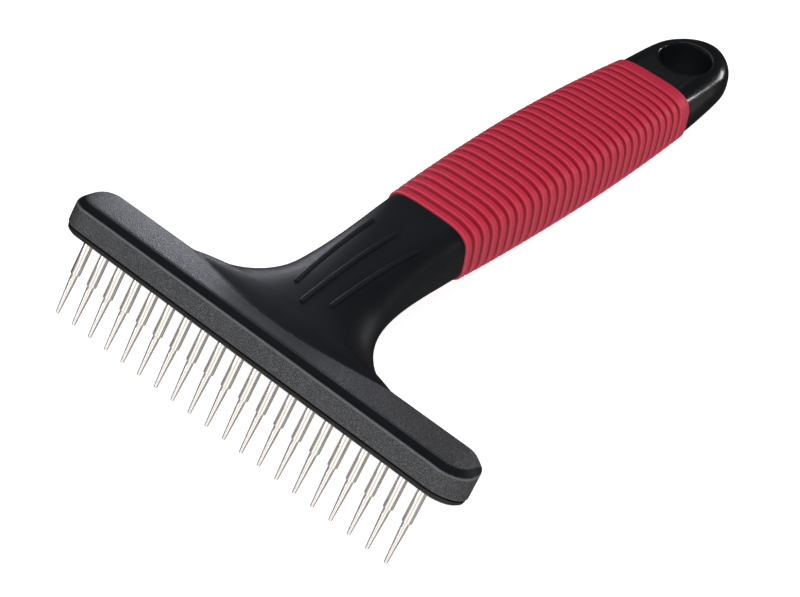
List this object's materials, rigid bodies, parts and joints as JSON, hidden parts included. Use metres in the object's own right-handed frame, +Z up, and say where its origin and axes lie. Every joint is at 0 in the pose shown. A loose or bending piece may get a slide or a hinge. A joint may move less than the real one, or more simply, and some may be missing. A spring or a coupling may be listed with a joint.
{
  "type": "undercoat rake",
  "caption": "T-shaped grooming rake: a row of stepped turning pins under a bar head, a ribbed rubber grip and a hanging hole.",
  "frame": {"origin": "centre of the bounding box at the table the rake lies on", "axes": "+X along the head, +Y from the head to the tail, +Z up, with the rake lying on its pin tips and the tail end of its grip"},
  "size_m": [0.1104, 0.1684, 0.0225],
  "materials": {
    "black_plastic": "black moulded plastic: spark-textured head, satin neck, glossy tail",
    "black_base": "smooth black moulded plastic",
    "red_rubber": "soft matte crimson rubber with ribs",
    "nickel": "bright nickel plate on turned steel"
  },
  "bodies": {
    "handle": {"handle_body": "black_plastic", "pin_plate": "black_base", "grip_sleeve": "red_rubber"},
    "pin_01_body": {"pin_01": "nickel"},
    "pin_02_body": {"pin_02": "nickel"},
    "pin_03_body": {"pin_03": "nickel"},
    "pin_04_body": {"pin_04": "nickel"},
    "pin_05_body": {"pin_05": "nickel"},
    "pin_06_body": {"pin_06": "nickel"},
    "pin_07_body": {"pin_07": "nickel"},
    "pin_08_body": {"pin_08": "nickel"},
    "pin_09_body": {"pin_09": "nickel"},
    "pin_10_body": {"pin_10": "nickel"},
    "pin_11_body": {"pin_11": "nickel"},
    "pin_12_body": {"pin_12": "nickel"},
    "pin_13_body": {"pin_13": "nickel"},
    "pin_14_body": {"pin_14": "nickel"},
    "pin_15_body": {"pin_15": "nickel"},
    "pin_16_body": {"pin_16": "nickel"},
    "pin_17_body": {"pin_17": "nickel"},
    "pin_18_body": {"pin_18": "nickel"},
    "pin_19_body": {"pin_19": "nickel"},
    "pin_20_body": {"pin_20": "nickel"}
  },
  "joints": [
    {"name": "pin_01_spin", "type": "hinge", "parent": "handle", "child": "pin_01_body", "pos_m": [-0.0475, -0.07498, 0.01349], "axis": [0, 0.5577, 0.8301], "continuous": true},
    {"name": "pin_02_spin", "type": "hinge", "parent": "handle", "child": "pin_02_body", "pos_m": [-0.0425, -0.07498, 0.01349], "axis": [0, 0.5577, 0.8301], "continuous": true},
    {"name": "pin_03_spin", "type": "hinge", "parent": "handle", "child": "pin_03_body", "pos_m": [-0.0375, -0.07498, 0.01349], "axis": [0, 0.5577, 0.8301], "continuous": true},
    {"name": "pin_04_spin", "type": "hinge", "parent": "handle", "child": "pin_04_body", "pos_m": [-0.0325, -0.07498, 0.01349], "axis": [0, 0.5577, 0.8301], "continuous": true},
    {"name": "pin_05_spin", "type": "hinge", "parent": "handle", "child": "pin_05_body", "pos_m": [-0.0275, -0.07498, 0.01349], "axis": [0, 0.5577, 0.8301], "continuous": true},
    {"name": "pin_06_spin", "type": "hinge", "parent": "handle", "child": "pin_06_body", "pos_m": [-0.0225, -0.07498, 0.01349], "axis": [0, 0.5577, 0.8301], "continuous": true},
    {"name": "pin_07_spin", "type": "hinge", "parent": "handle", "child": "pin_07_body", "pos_m": [-0.0175, -0.07498, 0.01349], "axis": [0, 0.5577, 0.8301], "continuous": true},
    {"name": "pin_08_spin", "type": "hinge", "parent": "handle", "child": "pin_08_body", "pos_m": [-0.0125, -0.07498, 0.01349], "axis": [0, 0.5577, 0.8301], "continuous": true},
    {"name": "pin_09_spin", "type": "hinge", "parent": "handle", "child": "pin_09_body", "pos_m": [-0.0075, -0.07498, 0.01349], "axis": [0, 0.5577, 0.8301], "continuous": true},
    {"name": "pin_10_spin", "type": "hinge", "parent": "handle", "child": "pin_10_body", "pos_m": [-0.0025, -0.07498, 0.01349], "axis": [0, 0.5577, 0.8301], "continuous": true},
    {"name": "pin_11_spin", "type": "hinge", "parent": "handle", "child": "pin_11_body", "pos_m": [0.0025, -0.07498, 0.01349], "axis": [0, 0.5577, 0.8301], "continuous": true},
    {"name": "pin_12_spin", "type": "hinge", "parent": "handle", "child": "pin_12_body", "pos_m": [0.0075, -0.07498, 0.01349], "axis": [0, 0.5577, 0.8301], "continuous": true},
    {"name": "pin_13_spin", "type": "hinge", "parent": "handle", "child": "pin_13_body", "pos_m": [0.0125, -0.07498, 0.01349], "axis": [0, 0.5577, 0.8301], "continuous": true},
    {"name": "pin_14_spin", "type": "hinge", "parent": "handle", "child": "pin_14_body", "pos_m": [0.0175, -0.07498, 0.01349], "axis": [0, 0.5577, 0.8301], "continuous": true},
    {"name": "pin_15_spin", "type": "hinge", "parent": "handle", "child": "pin_15_body", "pos_m": [0.0225, -0.07498, 0.01349], "axis": [0, 0.5577, 0.8301], "continuous": true},
    {"name": "pin_16_spin", "type": "hinge", "parent": "handle", "child": "pin_16_body", "pos_m": [0.0275, -0.07498, 0.01349], "axis": [0, 0.5577, 0.8301], "continuous": true},
    {"name": "pin_17_spin", "type": "hinge", "parent": "handle", "child": "pin_17_body", "pos_m": [0.0325, -0.07498, 0.01349], "axis": [0, 0.5577, 0.8301], "continuous": true},
    {"name": "pin_18_spin", "type": "hinge", "parent": "handle", "child": "pin_18_body", "pos_m": [0.0375, -0.07498, 0.01349], "axis": [0, 0.5577, 0.8301], "continuous": true},
    {"name": "pin_19_spin", "type": "hinge", "parent": "handle", "child": "pin_19_body", "pos_m": [0.0425, -0.07498, 0.01349], "axis": [0, 0.5577, 0.8301], "continuous": true},
    {"name": "pin_20_spin", "type": "hinge", "parent": "handle", "child": "pin_20_body", "pos_m": [0.0475, -0.07498, 0.01349], "axis": [0, 0.5577, 0.8301], "continuous": true}
  ]
}
